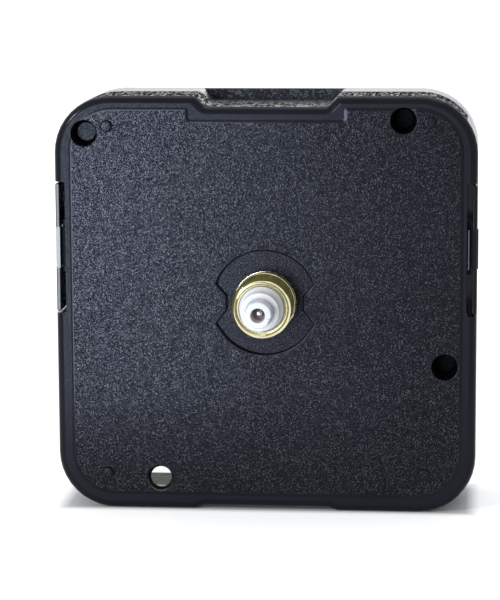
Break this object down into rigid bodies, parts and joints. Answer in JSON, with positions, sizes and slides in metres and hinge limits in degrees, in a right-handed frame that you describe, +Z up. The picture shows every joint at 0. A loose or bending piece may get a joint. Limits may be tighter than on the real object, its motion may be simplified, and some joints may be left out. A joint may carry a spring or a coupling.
{
  "type": "quartz clock movement",
  "caption": "Square battery clock movement: black snap-together case, threaded brass bushing, coaxial hour, minute and seconds shafts, stepping motor, gear train and rear setting knob.",
  "frame": {"origin": "on the surface that the movement stands on, under the middle of its width and of its whole depth, from the rear knob to the tip of the minute post", "axes": "-Y out of the dial side along the hand shafts, +Z up, +X to the right seen from the dial side"},
  "size_m": [0.0562, 0.0282, 0.0556],
  "materials": {
    "black_case": "fine spark-eroded texture",
    "black_cover": "gloss",
    "brass": "turned, bright",
    "white_plastic": "satin moulded",
    "natural_plastic": "satin moulded",
    "steel": "ground",
    "magnet": "sintered",
    "grey_plastic": "satin moulded",
    "nickel_iron": "stamped, annealed",
    "copper_wire": "enamelled",
    "board": "phenolic laminate",
    "crystal_can": "drawn can",
    "epoxy": "cured drop",
    "nickel_strip": "nickel-plated strip",
    "black_knob": "satin moulded"
  },
  "bodies": {
    "case": {"front_housing": "black_case", "rear_cover": "black_cover", "threaded_bushing": "brass", "train_plate": "grey_plastic", "train_bridge": "grey_plastic", "stator": "nickel_iron", "coil_core": "nickel_iron", "coil_bobbin": "natural_plastic", "coil_winding": "copper_wire", "circuit_board": "board", "quartz_crystal": "crystal_can", "timing_chip": "epoxy", "positive_contact": "nickel_strip", "negative_contact": "nickel_strip"},
    "seconds": {"seconds_wheel": "natural_plastic", "seconds_shaft": "steel"},
    "intermediate": {"intermediate_wheel": "natural_plastic"},
    "rotor": {"rotor_pinion": "white_plastic", "rotor_magnet": "magnet"},
    "third": {"third_wheel": "natural_plastic"},
    "center": {"center_wheel": "natural_plastic"},
    "minute": {"minute_post": "white_plastic"},
    "motion": {"motion_wheel": "white_plastic"},
    "hour": {"hour_wheel": "white_plastic"},
    "setting": {"setting_stem": "white_plastic", "setting_knob": "black_knob"}
  },
  "joints": [
    {"name": "seconds_spin", "type": "hinge", "parent": "case", "child": "seconds", "pos_m": [0, 0.00475, 0.02825], "axis": [0, 1, 0], "continuous": true},
    {"name": "intermediate_spin", "type": "hinge", "parent": "case", "child": "intermediate", "pos_m": [-0.00593, 0.00475, 0.03233], "axis": [0, 1, 0], "continuous": true},
    {"name": "rotor_spin", "type": "hinge", "parent": "case", "child": "rotor", "pos_m": [-0.01066, 0.00475, 0.03749], "axis": [0, 1, 0], "continuous": true},
    {"name": "third_spin", "type": "hinge", "parent": "case", "child": "third", "pos_m": [0.00846, 0.00475, 0.03133], "axis": [0, 1, 0], "continuous": true},
    {"name": "center_spin", "type": "hinge", "parent": "case", "child": "center", "pos_m": [0, 0.00475, 0.02825], "axis": [0, 1, 0], "continuous": true},
    {"name": "minute_spin", "type": "hinge", "parent": "case", "child": "minute", "pos_m": [0, 0.00475, 0.02825], "axis": [0, 1, 0], "continuous": true},
    {"name": "motion_spin", "type": "hinge", "parent": "case", "child": "motion", "pos_m": [-0.00649, 0.00475, 0.032], "axis": [0, 1, 0], "continuous": true},
    {"name": "hour_spin", "type": "hinge", "parent": "case", "child": "hour", "pos_m": [0, 0.00475, 0.02825], "axis": [0, 1, 0], "continuous": true},
    {"name": "setting_spin", "type": "hinge", "parent": "case", "child": "setting", "pos_m": [-0.01354, 0.00475, 0.02943], "axis": [0, 1, 0], "continuous": true}
  ],
  "couplings": [
    {"joint": "intermediate_spin", "follows": "seconds_spin", "ratio": -5},
    {"joint": "rotor_spin", "follows": "seconds_spin", "ratio": 30},
    {"joint": "third_spin", "follows": "seconds_spin", "ratio": -0.125},
    {"joint": "center_spin", "follows": "seconds_spin", "ratio": 0.016667},
    {"joint": "motion_spin", "follows": "minute_spin", "ratio": -0.33333},
    {"joint": "hour_spin", "follows": "minute_spin", "ratio": 0.083333},
    {"joint": "setting_spin", "follows": "minute_spin", "ratio": 1}
  ]
}
